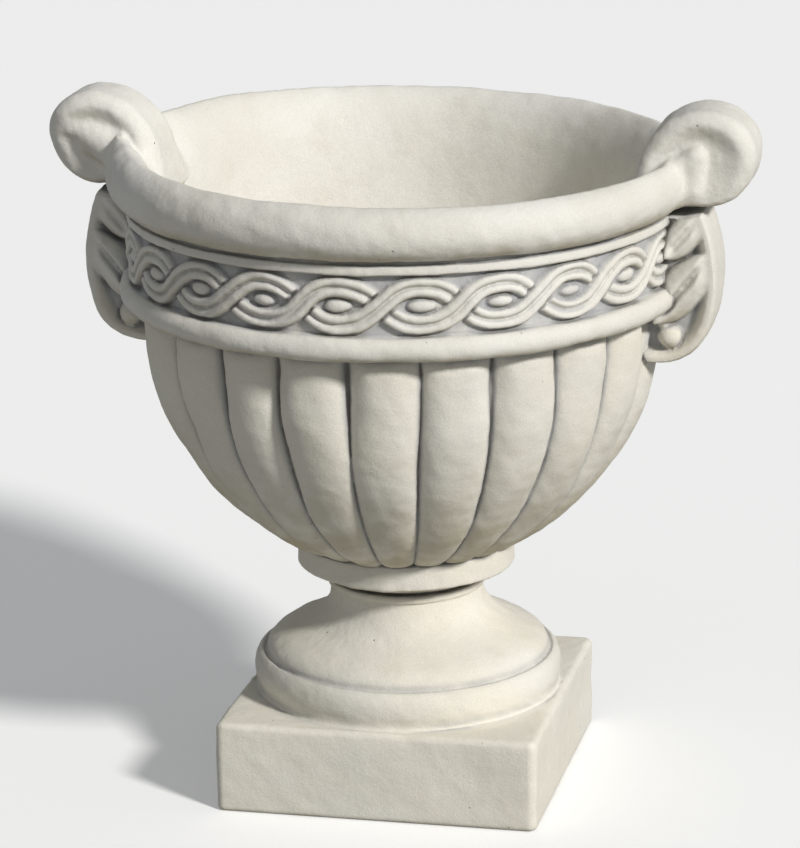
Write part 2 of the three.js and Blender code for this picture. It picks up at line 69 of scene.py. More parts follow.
# The step from the bell to the torus and the torus's soft run into the plinth, as curves.
BELL_STEP = ((131.5, 125.4), (132.0, 121.0), (132.8, 119.0), (136.6, 121.2))
TORUS_RUN = ((142.2, 92.8), (141.2, 89.4), (141.0, 86.3), (143.6, PLINTH_HEIGHT + 0.1))
# Middle and reach of the painted shade in that step.
STEP_MIDDLE = (133.0, 121.5)
STEP_SHADE_REACH = 4.5

# ---------- Bowl ----------
BOWL_BASE = 194.5
SEAT_RADIUS = 69.5
COLLAR_BOTTOM = 205.5
COLLAR_TOP = 230.5
COLLAR_RADIUS = 101.0
LOBE_COUNT = 22
LOBE_RADIUS = 237.5
SHOULDER = 445.0
CAP_WIDTH = 15.0
CAP_SQUARENESS = 2.6
WAIST = 463.5
WAIST_RADIUS = 231.0
LOWER_TORUS_RADIUS = 259.0
LOWER_TORUS_BULGE = 10.0
FRIEZE_RADIUS = 244.5
FRIEZE_BOTTOM = 485.0
FRIEZE_TOP = 540.0
FILLET_RADIUS = 251.5
FILLET_TOP = 549.0
QUIRK_RADIUS = 247.5
RIM_BASE = 552.0
RIM_TOP = 603.0
RIM_CENTRE = 245.0
RIM_BULGE = 23.3
CREST_RADIUS = 250.0
FLARE_RADIUS = 218.5
WALL_RADIUS = 208.0
WALL_DEPTH = 201.0
FLOOR_RADIUS = 42.0

# ---------- Lobes: depth of the grooves, fullness, pull of the columns towards the grooves ----------
GROOVE_DEPTH = 9.0
GROOVE_GAIN = 8.0
GROOVE_LOSS = 9.5
LOBE_FULLNESS = 2.1
FULLNESS_GAIN = 0.4
FULLNESS_LOSS = 0.6
PLAIN_FULLNESS = 3.0
LOBE_PULL = 0.62

# ---------- Guilloche ----------
STRAND_HALF = 9.1
STRAND_RELIEF = 6.6
STRAND_GROOVE = 3.2
STRAND_SWING = 16.9
STRAND_STEEPNESS = 0.06
CROSSING_LIFT = 1.8
EYE_HALF_LENGTH = 12.5
EYE_HALF_HEIGHT = 6.2
EYE_RELIEF = 5.6

# ---------- Scroll handles ----------
SCROLL_X = 281.5
SCROLL_Z = 602.2
SCROLL_HALF_LENGTH = 47.0
SCROLL_HALF_HEIGHT = 43.4
SCROLL_HALF_WIDTH = 35.0
SCROLL_EDGE = 15.0
DISH_DEPTH = 7.0
SCROLL_LEAN = 14.0
COIL_FACE = 28.0
ROLL_REACH = 76.0
HANDLE_STEP = 1.5

# ---------- Leaf brackets ----------
BRACKET_HALF_WIDTH = 31.0
BRACKET_EDGE = 6.0
BRACKET_TOP = 554.0
STRAP_BORDER = 13.0
LEAF_GROUND = 10.0
BRACKET_STEP = 1.25
# Leaves: base, tip, half width, relief, crease. Buds: middle, radius, relief. Pits: middle, size.
UPPER_LEAF = ((247, 512), (282, 552), 16.0, 16.0, 5.5)
LARGE_LEAF = ((238, 452), (290, 517), 20.5, 19.0, 7.0)
BERRY = ((251, 438.5), 12.0, 14.0)
CALYX = ((246, 450), 7.0, 9.0)
PITS = ((246, 511, 7), (240, 453, 6), (277, 462, 8), (280, 524, 6), (262, 449, 5))
PIT_DEPTH = 5.0

# ---------- Mesh density ----------
LOBE_COLUMNS = 28
FINE = LOBE_COUNT * LOBE_COLUMNS
COARSE = FINE // 2
FOOT_COLUMNS = 256
LOBE_ROWS = 66
CAP_ROWS = 14
FRIEZE_ROWS = 46

# ---------- Irregularities: seeds, and waves as (height, length) ----------
SWAY_SEED = 11
GROOVE_SEED = 13
BELLY_SEED = 14
EYE_SEED = 15
STRAND_SEED = 16
BOWL_SEED = 100
FOOT_SEED = 200
CHIP_SEED = 210
BRACKET_SEED = 400
SWELLS = ((0.40, 75), (0.16, 22), (0.07, 7))

# ---------- Dirt and painted shade ---
WIDE_REACH = 34.0
NARROW_REACH = 10.0
OUTLOOK_RAYS = 11
RAY_START = 0.5


# ---------- Curves in a profile: lists of (radius, height) ----------

def arc(centre, radii, start, end, steps):
    angles = np.radians(np.linspace(start, end, steps + 1))
    return np.column_stack([centre[0] + radii[0] * np.cos(angles), centre[1] + radii[1] * np.sin(angles)])


def bend(start, control_1, control_2, end, steps):
    t = np.linspace(0, 1, steps + 1)[:, None]
    points = [np.array(point, float) for point in (start, control_1, control_2, end)]
    weights = [(1 - t) ** 3, 3 * t * (1 - t) ** 2, 3 * t * t * (1 - t), t ** 3]
    return sum(weight * point for weight, point in zip(weights, points))


def line(start, end, steps):
    t = np.linspace(0, 1, steps + 1)[:, None]
    return np.array(start, float) * (1 - t) + np.array(end, float) * t


def smoothstep(low, high, value):
    t = np.clip((value - low) / (high - low), 0, 1)
    return t * t * (3 - 2 * t)


# ---------- Irregularities of a hand-finished casting ----------

def ripple(points, wavelength, seed, waves=16):
    """Smooth noise of unit spread, in the units of the points."""
    rng = np.random.default_rng(seed)
    directions = rng.normal(size=(3, waves))
    directions /= np.linalg.norm(directions, axis=0)
    rates = TURN / (wavelength * rng.uniform(0.7, 1.6, waves))
    phases = rng.uniform(0, TURN, waves)
    return np.sin(points @ (directions * rates) + phases).sum(-1) * math.sqrt(2 / waves)


# ---------- Meshes made of rings ----------

def ring_faces(first, count, next_first, next_count):
    """Faces between two rings of points. One of them may have twice as many as the other."""
    faces = []
    for i in range(min(count, next_count)):
        j = (i + 1) % min(count, next_count)
        here = [first + i, first + j]
        there = [next_first + j, next_first + i]
        if count > next_count:
            here = [first + (2 * i + k) % count for k in (0, 1, 2)]
        if next_count > count:
            there = [next_first + (2 * i + k) % next_count for k in (2, 1, 0)]
        faces.append((*here, *there))
    return faces


def ring_mesh(name, rings):
    """A closed mesh from rings of points, of which the last joins the first."""
    starts = np.cumsum([0] + [len(ring) for ring in rings])
    faces = []
    for a in range(len(rings)):
        b = (a + 1) % len(rings)
        faces += ring_faces(int(starts[a]), len(rings[a]), int(starts[b]), len(rings[b]))
    return closed_mesh(name, np.vstack(rings), faces)


def closed_mesh(name, points, faces):
    """A smooth mesh that faces outward, from points in millimetres."""
    mesh = bpy.data.meshes.new(name)
    mesh.from_pydata((points * MM).tolist(), [], faces)
    if signed_volume(mesh) < 0:
        mesh.flip_normals()
    mesh.shade_smooth()
    mesh.update()
    return mesh


def signed_volume(mesh):
    mesh.calc_loop_triangles()
    corners = np.empty(len(mesh.loop_triangles) * 3, np.int32)
    mesh.loop_triangles.foreach_get("vertices", corners)
    a, b, c = vertex_points(mesh)[corners.reshape(-1, 3)].transpose(1, 0, 2)
    return float((a * np.cross(b, c)).sum() / 6)


def vertex_points(mesh):
    points = np.empty(len(mesh.vertices) * 3, np.float32)
    mesh.vertices.foreach_get("co", points)
    return points.reshape(-1, 3).astype(float)


def vertex_normals(mesh):
    normals = np.empty(len(mesh.vertices) * 3, np.float32)
    mesh.vertex_normals.foreach_get("vector", normals)
    return normals.reshape(-1, 3).astype(float)


def move_points(mesh, points):
    mesh.vertices.foreach_set("co", (points * MM).astype(np.float32).ravel())
    mesh.update()


def weather(mesh, seed, amount):
    """Moves the surface a little in and out. The amount per vertex is 0 to 1."""
    points = vertex_points(mesh) / MM
    swell = sum(height * ripple(points, length, seed + i) for i, (height, length) in enumerate(SWELLS))
    move_points(mesh, points + vertex_normals(mesh) * (swell * amount)[:, None])


def store(mesh, name, values):
    attribute = mesh.attributes.new(name, "FLOAT", "POINT")
    attribute.data.foreach_set("value", np.asarray(values, np.float32))


def put_in_scene(name, data):
    thing = bpy.data.objects.new(name, data)
    bpy.context.scene.collection.objects.link(thing)
    return thing


def add_piece(name, mesh, material, node):
    piece = put_in_scene(name, mesh)
    mesh.materials.append(material)
    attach(piece, "root")
    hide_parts(node)
    return piece


# ---------- Solids given by a field that is negative inside ----------

def signed_distance(outline, u, v):
    """Distance to a closed outline in a plane, negative inside it."""
    nearest = np.full(np.broadcast(u, v).shape, np.inf)
    inside = np.zeros(nearest.shape, bool)
    for (u0, v0), (u1, v1) in zip(outline, np.roll(outline, -1, axis=0)):
        along_u, along_v = u1 - u0, v1 - v0
        length = along_u ** 2 + along_v ** 2
        if length == 0:
            continue
        t = np.clip(((u - u0) * along_u + (v - v0) * along_v) / length, 0, 1)
        nearest = np.minimum(nearest, (u - u0 - t * along_u) ** 2 + (v - v0 - t * along_v) ** 2)
        if along_v != 0:
            inside ^= ((v0 > v) != (v1 > v)) & (u < along_u * (v - v0) / along_v + u0)
    return np.where(inside, -1, 1) * np.sqrt(nearest)


def plane_field(outline, low, high, step=0.5):
    """The signed distance to an outline as a function that reads it from a table."""
    u = np.arange(low[0], high[0] + step, step)
    v = np.arange(low[1], high[1] + step, step)
    table = signed_distance(outline, u[:, None], v[None, :])

    def look_up(a, b):
        p = np.clip((a - low[0]) / step, 0, len(u) - 1.001)
        q = np.clip((b - low[1]) / step, 0, len(v) - 1.001)
        i, j = p.astype(int), q.astype(int)
        s, t = p - i, q - j
        near = table[i, j] * (1 - s) + table[i + 1, j] * s
        far = table[i, j + 1] * (1 - s) + table[i + 1, j + 1] * s
        return near * (1 - t) + far * t

    return look_up


def melt(first, second, width):
    """Joins two fields, with a fillet of about the width where they meet."""
    h = np.clip(0.5 + 0.5 * (second - first) / width, 0, 1)
    return second * (1 - h) + first * h - width * h * (1 - h)


def rounded_slab(flat, across, edge):
    """Where both fields are negative, with rounded edges."""
    a, b = flat + edge, across + edge
    return np.hypot(np.maximum(a, 0), np.maximum(b, 0)) + np.minimum(np.maximum(a, b), 0) - edge


def rod_field(x, y, z, start, end, start_radius, end_radius):
    """A rod with round ends that tapers from the start to the end."""
    along = np.subtract(end, start)
    offset = (x - start[0], y - start[1], z - start[2])
    t = np.clip(sum(o * a for o, a in zip(offset, along)) / (along @ along), 0, 1)
    away = sum((o - t * a) ** 2 for o, a in zip(offset, along))
    return np.sqrt(away) - (start_radius + (end_radius - start_radius) * t)


def net_mesh(name, low, high, step, field):
    """A closed mesh of quads over the surface where the field is zero."""
    axes = [np.arange(a, b + step, step) for a, b in zip(low, high)]
    x, y, z = (axis.reshape([-1 if k == n else 1 for k in range(3)]) for n, axis in enumerate(axes))
    values = np.broadcast_to(field(x, y, z), [len(axis) for axis in axes])
    shape = values.shape
    sums = np.zeros((values.size, 3))
    counts = np.zeros(values.size)
    quads = []
    for axis in range(3):
        here = np.take(values, np.arange(shape[axis] - 1), axis)
        there = np.take(values, np.arange(1, shape[axis]), axis)
        crosses = (here < 0) != (there < 0)
        cells = np.argwhere(crosses)
        before, after = here[crosses], there[crosses]
        places = cells.astype(float)
        places[:, axis] += before / (before - after)
        around = []
        for back_1, back_2 in ((0, 0), (1, 0), (1, 1), (0, 1)):
            cell = cells.copy()
            cell[:, (axis + 1) % 3] -= back_1
            cell[:, (axis + 2) % 3] -= back_2
            keys = np.ravel_multi_index(cell.T, shape)
            np.add.at(sums, keys, places)
            np.add.at(counts, keys, 1)
            around.append(keys)
        quad = np.column_stack(around)
        outward = before < 0
        quads.append(np.where(outward[:, None], quad, quad[:, ::-1]))
    used = np.flatnonzero(counts)
    number = np.full(values.size, -1)
    number[used] = np.arange(len(used))
    points = np.array(low) + step * sums[used] / counts[used, None]
    return closed_mesh(name, points, number[np.vstack(quads)].tolist())


# ---------- Guilloche frieze ----------

def strand_rise(place, side):
    """Height of a strand's centre line above the middle of the frieze; places count eyes."""
    wave = (1 + STRAND_STEEPNESS) * np.cos(math.pi * place)
    wave -= STRAND_STEEPNESS * np.cos(3 * math.pi * place)
    return side * STRAND_SWING * wave


def strand_distance(place, height, side):
    """Distance of each point to a strand's centre line, found among near points of that line."""
    eye_spacing = TURN * FRIEZE_RADIUS / LOBE_COUNT
    near = np.linspace(-0.42, 0.42, 57)
    line_place = place[..., None] + near
    across = near * eye_spacing
    up = strand_rise(line_place, side) - height[..., None]
    return np.sqrt(across ** 2 + up ** 2).min(-1)


def strand_section(distance):
    """Two rounded ribs with a groove between them."""
    rib_middle = 0.53 * STRAND_HALF
    rib_half = STRAND_HALF - rib_middle
    inside = np.clip(1 - ((distance - rib_middle) / rib_half) ** 2, 0, 1)
    rib = STRAND_RELIEF * inside ** 0.45
    groove = np.where(distance < rib_middle, STRAND_RELIEF - STRAND_GROOVE, 0)
    return np.maximum(rib, groove)


def guilloche(place, height):
    """Relief of the frieze at places counted in eyes and heights above its middle."""
    crossing = np.sin(math.pi * place) ** 2
    first_on_top = np.floor(place) % 2 == 1
    distances = [strand_distance(place, height, side) for side in (1, -1)]
    reliefs = [strand_section(distance) for distance in distances]
    top = np.where(first_on_top, reliefs[0], reliefs[1])
    top_distance = np.where(first_on_top, distances[0], distances[1])
    under = np.where(first_on_top, reliefs[1], reliefs[0])
    top = np.where(top > 0, top + CROSSING_LIFT * crossing, 0)
    dip = 1 - 0.85 * crossing * (1 - smoothstep(STRAND_HALF - 0.3, STRAND_HALF + 3.2, top_distance))
    under = (under - 0.8 * crossing * (under > 0)) * dip
    across = (place - np.round(place)) * TURN * FRIEZE_RADIUS / LOBE_COUNT
    inside_eye = np.clip(1 - (across / EYE_HALF_LENGTH) ** 2 - (height / EYE_HALF_HEIGHT) ** 2, 0, 1)
    eye = EYE_RELIEF * inside_eye ** 0.55
    return np.maximum.reduce([top, under, eye, np.zeros_like(eye)])


# ---------- Bowl ----------

def round_points(radius, angle, height):
    radius, angle, height = np.broadcast_arrays(radius, angle, height)
    return np.stack([radius * np.sin(angle), -radius * np.cos(angle), height], -1)


def rim_settling(x, y):
    """How far the crest of the rim lies outward and upward of a level circle, round the urn."""
    reach = np.maximum(1, np.hypot(x, y))
    left, right = np.clip(-x / reach, 0, 1), np.clip(x / reach, 0, 1)
    front, back = np.clip(-y / reach, 0, 1), np.clip(y / reach, 0, 1)
    up = 6.0 * smoothstep(0.3, 1.0, left) + 2.5 * smoothstep(0, 0.5, left) * back
    up = up - 2.0 * smoothstep(0, 0.4, right) - 2.2 * front * (1 + 0.6 * smoothstep(0, 0.7, right))
    from_handle = np.abs(y)
    out_right = 7.0 * (1 - smoothstep(35, 190, from_handle)) * (x > 0)
    out_left = 10.0 * (1 - smoothstep(33, 80, from_handle)) * (x < 0)
    return out_right + out_left, up


def rim_weights(reach, height):
    """Share of the crest's settling that a point of the rim takes, outward and upward."""
    up_the_rim = np.clip((height - RIM_BASE) / (RIM_TOP - RIM_BASE), 0, 1)
    front = RIM_CENTRE + RIM_BULGE
    behind_front = np.clip((front - reach) / (front - CREST_RADIUS), 0, 1)
    return behind_front * smoothstep(0.15, 0.9, up_the_rim), up_the_rim


def settle_rim(points):
    x, y = points[..., 0], points[..., 1]
    reach = np.maximum(1, np.hypot(x, y))
    out, up = rim_settling(x, y)
    out_share, up_share = rim_weights(reach, points[..., 2])
    grow = 1 + out * out_share / reach
    return np.stack([x * grow, y * grow, points[..., 2] + up * up_share], -1)


def plain_rings(profile, columns):
    angle = np.arange(columns) * TURN / columns
    return [settle_rim(round_points(radius, angle, height)) for radius, height in profile]


def lobe_rows():
    """Rows from the collar's top to the foot of the frieze: radius, height, depth of the grooves,
    fullness of the lobes and pull of the columns towards the grooves."""
    rows = [
        (COLLAR_RADIUS - 6, COLLAR_TOP, 0, PLAIN_FULLNESS, 0.1),
        (COLLAR_RADIUS - 2, COLLAR_TOP + 0.1, 1.5, PLAIN_FULLNESS, 0.3),
    ]
    start = math.degrees(math.acos((COLLAR_RADIUS + 4) / LOBE_RADIUS))
    depth_below = (SHOULDER - COLLAR_TOP - 0.6) / math.sin(math.radians(start))
    side = arc((0, SHOULDER), (LOBE_RADIUS, depth_below), -start, 0, LOBE_ROWS)
    for rise, (radius, height) in zip(np.linspace(0, 1, len(side)), side):
        depth = GROOVE_DEPTH + GROOVE_GAIN * rise ** 0.8
        rows.append((radius, height, depth, LOBE_FULLNESS + FULLNESS_GAIN * rise, LOBE_PULL))
    for step in range(1, CAP_ROWS + 1):
        share = step / CAP_ROWS
        inset = CAP_WIDTH * (1 - (1 - share ** CAP_SQUARENESS) ** (1 / CAP_SQUARENESS))
        radius, height = LOBE_RADIUS - inset, SHOULDER + (WAIST - SHOULDER) * share
        depth = GROOVE_DEPTH + GROOVE_GAIN - GROOVE_LOSS * share ** 2
        fullness = LOBE_FULLNESS + FULLNESS_GAIN - FULLNESS_LOSS * share ** 2
        rows.append((radius, height, depth, fullness, LOBE_PULL))
    rows.append((LOBE_RADIUS - CAP_WIDTH + 2, WAIST + 0.4, 0, PLAIN_FULLNESS, 0.6))
    rows.append((WAIST_RADIUS, WAIST + 0.6, 0, PLAIN_FULLNESS, 0.6))
    rows.append((WAIST_RADIUS + 8, WAIST + 0.2, 0, PLAIN_FULLNESS, 0.5))
    torus_centre = (LOWER_TORUS_RADIUS - LOWER_TORUS_BULGE, (WAIST + FRIEZE_BOTTOM) / 2)
    torus = arc(torus_centre, (LOWER_TORUS_BULGE, (FRIEZE_BOTTOM - WAIST) / 2), -98, 82, 15)
    for pull, (radius, height) in zip(np.linspace(0.45, 0, len(torus)), torus):
        rows.append((radius, height, 0, PLAIN_FULLNESS, pull))
    rows.append((FRIEZE_RADIUS + 2.2, FRIEZE_BOTTOM + 0.2, 0, PLAIN_FULLNESS, 0))
    return np.array(rows, float)


def lobed_rings():
    radius, height, depth, fullness, pull = (column[:, None] for column in lobe_rows().T)
    lobe, step = np.divmod(np.arange(FINE), LOBE_COLUMNS)
    share = step / LOBE_COLUMNS
    pulled = share - pull * np.sin(TURN * share) / TURN
    angle = (lobe + pulled) * TURN / LOBE_COUNT
    flat = round_points(LOBE_RADIUS, angle, height)
    from_crest = np.abs(2 * pulled - 1)
    fall = 1 - (1 - 0.985 * from_crest ** fullness) ** 0.66
    deeper = 1 + 0.12 * ripple(flat, 90, GROOVE_SEED)
    lobe_middle = round_points(LOBE_RADIUS, (lobe + 0.5) * TURN / LOBE_COUNT, height)
    bellies = 0.6 * ripple(lobe_middle, 90, BELLY_SEED) * (depth > 3) * (1 - from_crest ** 2)
    sway = 0.014 * ripple(flat, 120, SWAY_SEED) * smoothstep(2, 8, depth) * TURN / LOBE_COUNT
    return list(round_points(radius - depth * deeper * fall + bellies, angle + sway, height))


def frieze_rings():
    columns = 2 * FINE
    angle = np.arange(columns) * TURN / columns
    low, high = FRIEZE_BOTTOM + 0.9, FRIEZE_TOP - 0.9
    height = np.linspace(low, high, FRIEZE_ROWS)[:, None]
    flat = round_points(FRIEZE_RADIUS, angle, height)
    place = angle * LOBE_COUNT / TURN + 0.010 * ripple(flat, 45, EYE_SEED)
    above_middle = height - (FRIEZE_BOTTOM + FRIEZE_TOP) / 2 + 0.35 * ripple(flat, 40, STRAND_SEED)
    return list(round_points(FRIEZE_RADIUS - 0.8 + guilloche(place, above_middle), angle, height))


def rim_profile():
    rim_middle = (RIM_BASE + RIM_TOP) / 2
    profile = [(FRIEZE_RADIUS + 2.5, FRIEZE_TOP + 0.1)]
    profile += [*arc((FILLET_RADIUS - 2, FRIEZE_TOP + 2.6), (2, 2.2), -80, 0, 3)]
    profile += [*line((FILLET_RADIUS, FRIEZE_TOP + 4), (FILLET_RADIUS - 0.4, FILLET_TOP - 2), 2)]
    profile += [*arc((FILLET_RADIUS - 2.4, FILLET_TOP - 2), (2, 2), 10, 90, 3)]
    profile += [(QUIRK_RADIUS, FILLET_TOP + 0.4), (QUIRK_RADIUS - 0.4, FILLET_TOP + 1.6)]
    profile += [(QUIRK_RADIUS, RIM_BASE)]
    profile += [*arc((RIM_CENTRE, rim_middle), (RIM_BULGE, (RIM_TOP - RIM_BASE) / 2), -78, 72, 34)]
    return profile + [(CREST_RADIUS, RIM_TOP - 0.35), (CREST_RADIUS - 3, RIM_TOP - 0.5)]


def flare_profile():
    top = (CREST_RADIUS - 5, RIM_TOP - 1.6)
    return bend(top, (236, RIM_TOP - 6), (FLARE_RADIUS + 5, 580), (FLARE_RADIUS, 553), 14)


def rim_section():
    """Outline of the rim and its flare in radius and height."""
    outside = [point for point in rim_profile() if point[1] >= RIM_BASE]
    return np.vstack([outside, flare_profile(), [(FLARE_RADIUS, RIM_BASE)]])


def bowl_underside():
    profile = [*line((BORE_RADIUS, BOWL_BASE), (SEAT_RADIUS - 2, BOWL_BASE), 4)]
    seat_edge, into_cove = (SEAT_RADIUS + 1.5, BOWL_BASE), (SEAT_RADIUS + 5, BOWL_BASE + 4.5)
    out_of_cove, collar_edge = (86, COLLAR_BOTTOM - 1.6), (COLLAR_RADIUS - 4, COLLAR_BOTTOM)
    profile += [*bend(seat_edge, into_cove, out_of_cove, collar_edge, 6)]
    profile += [*arc((COLLAR_RADIUS - 3, COLLAR_BOTTOM + 3), (3, 3), -70, 0, 4)]
    profile += [*line((COLLAR_RADIUS, COLLAR_BOTTOM + 5), (COLLAR_RADIUS, COLLAR_TOP - 5), 5)]
    profile += [*arc((COLLAR_RADIUS - 3, COLLAR_TOP - 3), (3, 3), 0, 84, 4)]
    return profile


def bowl_inside():
    floor_angle = math.degrees(math.acos(FLOOR_RADIUS / WALL_RADIUS))
    wall = arc((0, SHOULDER), (WALL_RADIUS, WALL_DEPTH), 0, -floor_angle, 24)
    floor = wall[-1][1]
    below_flare = line((FLARE_RADIUS - 1.5, 545), (WALL_RADIUS + 0.3, SHOULDER + 6), 7)
    profile = [*flare_profile(), *below_flare, *wall]
    profile += [*line((FLOOR_RADIUS - 8, floor - 0.6), (BORE_RADIUS + 1.5, floor - 0.6), 3)]
    profile += [*line((BORE_RADIUS, floor - 2), (BORE_RADIUS, BOWL_BASE + 1), 4)]
    return profile


def bowl_mesh():
    under = plain_rings(bowl_underside(), COARSE)
    inside = plain_rings(bowl_inside(), COARSE)
    rings = under + lobed_rings() + frieze_rings() + plain_rings(rim_profile(), FINE) + inside
    mesh = ring_mesh("urn_bowl_casting", rings)
    seat_rings, bore_rings = 6, 6  # these stay true, the first and the last of all
    amount = np.ones(len(mesh.vertices))
    amount[:seat_rings * COARSE] = 0
    amount[-bore_rings * COARSE:] = 0
    weather(mesh, BOWL_SEED, amount)
    # Depth in the recesses, for blue-grey antiquing that is partly painted shade.
    store(mesh, "sunken", bowl_recesses(vertex_points(mesh) / MM, vertex_normals(mesh)))
    return mesh


def bowl_recesses(points, normals):
    """How deep each point lies in the frieze's ground or in a groove between two lobes, 0 to 1."""
    reach, height = np.hypot(points[:, 0], points[:, 1]), points[:, 2]
    relief = (reach - FRIEZE_RADIUS + 0.8) / STRAND_RELIEF
    in_frieze = (height > FRIEZE_BOTTOM + 0.5) & (height < FRIEZE_TOP - 0.5) & (reach > FRIEZE_RADIUS - 3)
    place = np.arctan2(points[:, 0], -points[:, 1]) * LOBE_COUNT / TURN % 1
    to_groove = 1 - np.abs(2 * place - 1)
    groove_width = 0.085
    outward = (points[:, :2] * normals[:, :2]).sum(1) > 0
    in_lobes = outward & (height > COLLAR_TOP + 2) & (height < WAIST) & (reach > COLLAR_RADIUS + 2)
    grooves = np.exp(-(to_groove * (0.5 + 0.5 * reach / LOBE_RADIUS) / groove_width) ** 2)
    return np.where(in_frieze, 1 - smoothstep(0.1, 0.85, relief), np.where(in_lobes, 0.85 * grooves, 0))


# ---------- Foot ----------

def square_points(half, corner, height):
    """A ring round a square with round corners; its points crowd in the corners."""
    per_side = FOOT_COLUMNS // 4
    straight = int(per_side * 0.375)
    in_corner = per_side - 2 * straight
    run = half - corner
    points = []
    for i in range(per_side):
        if i < straight:
            points.append((run * i / straight, -half))
        elif i < straight + in_corner:
            angle = math.radians(90) * (i - straight) / in_corner
            points.append((run + corner * math.sin(angle), -run - corner * math.cos(angle)))
        else:
            points.append((half, -run + run * (i - straight - in_corner) / straight))
    side = np.array(points)
    ring = []
    for quarter in range(4):
        angle = quarter * math.radians(90)
        turn = np.array([[math.cos(angle), math.sin(angle)], [-math.sin(angle), math.cos(angle)]])
        ring.append(side @ turn)
    flat = np.vstack(ring)
    return np.column_stack([flat, np.full(len(flat), float(height))])


def inset_square(inset, height):
    """The plinth's outline, set in. Its corners grow tighter with it."""
    return square_points(PLINTH_HALF - inset, PLINTH_CORNER - CORNER_LOSS * inset, height)


def circle_points(radius, height):
    angle = np.arange(FOOT_COLUMNS) * TURN / FOOT_COLUMNS
    return round_points(radius, angle, float(height))


def foot_profile():
    torus_middle = PLINTH_HEIGHT + SOCLE_TORUS_HEIGHT / 2
    torus_top = PLINTH_HEIGHT + SOCLE_TORUS_HEIGHT
    profile = [*line((BORE_RADIUS, FOOT_TOP), (BEAD_RADIUS - 3, FOOT_TOP), 4)]
    profile += [*arc((BEAD_RADIUS - 3, FOOT_TOP - 3.9), (3, 3.9), 80, -60, 9)]
    profile += [(NECK_RADIUS - 0.2, BELL_TOP + 0.6)]
    swell = torus_top + 0.37 * (BELL_TOP - torus_top)
    bell_start, bell_end = (NECK_RADIUS, BELL_TOP - 0.6), (BELL_FOOT_RADIUS, torus_top + 3.5)
    profile += [*bend(bell_start, (NECK_RADIUS + 1, swell), (BELL_FOOT_RADIUS - 7, swell), bell_end, 30)]
    profile += [*bend(*BELL_STEP, 9)]
    torus_radii = (SOCLE_TORUS_BULGE, SOCLE_TORUS_HEIGHT / 2)
    profile += [*arc((SOCLE_TORUS_CENTRE, torus_middle), torus_radii, 66, -30, 18)]
    return profile + [*bend(*TORUS_RUN, 7)]


def foot_mesh():
    rings = [circle_points(radius, height) for radius, height in foot_profile()]
    circle = circle_points(foot_profile()[-1][0], PLINTH_HEIGHT)
    square = square_points(PLINTH_HALF - PLINTH_EDGE, PLINTH_CORNER - PLINTH_EDGE + 1, PLINTH_HEIGHT)
    rings += [circle * (1 - share) + square * share for share in (0.25, 0.5, 0.75, 1.0)]
    for angle in np.radians([18, 36, 54, 72, 90]):
        drop = PLINTH_EDGE * (1 - math.cos(angle))
        rings.append(inset_square(PLINTH_EDGE * (1 - math.sin(angle)), PLINTH_HEIGHT - drop))
    for height in np.linspace(PLINTH_HEIGHT - PLINTH_EDGE, UNDER_EDGE_HEIGHT, 14)[1:]:
        rings.append(inset_square(0, height))
    for angle in np.radians([30, 60, 90]):
        height = UNDER_EDGE_HEIGHT * (1 - math.sin(angle))
        rings.append(inset_square(UNDER_EDGE * (1 - math.cos(angle)), height))
    circle, square = circle_points(CORE_MOUTH_RADIUS, 0), inset_square(UNDER_EDGE, 0)
    rings += [square * (1 - share) + circle * share for share in (0.35, 0.7, 1.0)]
    core = [*line((CORE_MOUTH_RADIUS, 3), (CORE_NECK_RADIUS, PLINTH_HEIGHT), 8)]
    core += [*line((CORE_NECK_RADIUS, PLINTH_HEIGHT), (CORE_ROOF_RADIUS, CORE_ROOF), 8)[1:]]
    core += [*line((CORE_ROOF_RADIUS, CORE_ROOF), (BORE_RADIUS, CORE_ROOF), 4)[1:]]
    core += [*line((BORE_RADIUS, CORE_ROOF + 3), (BORE_RADIUS, FOOT_TOP - 2), 4)]
    rings += [circle_points(radius, height) for radius, height in core]
    mesh = ring_mesh("pedestal_foot_casting", rings)
    points = vertex_points(mesh) / MM
    reach = np.hypot(points[:, 0], points[:, 1])
    amount = smoothstep(0.5, 8, points[:, 2]) * smoothstep(SEAT_RADIUS, BEAD_RADIUS, reach)
    weather(mesh, FOOT_SEED, amount)
    # Painted shade in the step between the bell and the torus.
    from_step = (reach - STEP_MIDDLE[0]) ** 2 + (points[:, 2] - STEP_MIDDLE[1]) ** 2
    store(mesh, "sunken", 0.7 * np.exp(-from_step / STEP_SHADE_REACH ** 2))
    wear_plinth(mesh)
    return mesh


def wear_plinth(mesh):
    """Knocks the plinth's upright and top edges back a little, unevenly."""
    points = vertex_points(mesh) / MM
    outward = np.abs(points[:, :2])
    to_side = PLINTH_HALF - outward
    to_top = PLINTH_HEIGHT - points[:, 2]
    upright = np.exp(-(to_side.max(1) / 9) ** 2)
    top = np.exp(-(to_side.min(1) / 7) ** 2) * np.exp(-(to_top / 7) ** 2)
    edge = np.clip(upright + top, 0, 1) * (points[:, 2] > 6)
    chips = np.clip(ripple(points, 38, CHIP_SEED) - 0.5, 0, 2)
    chips += 0.5 * np.clip(ripple(points, 13, CHIP_SEED + 1) - 0.8, 0, 2)
    move_points(mesh, points - vertex_normals(mesh) * (edge * chips * 0.9)[:, None])


# ---------- Scroll handles ----------

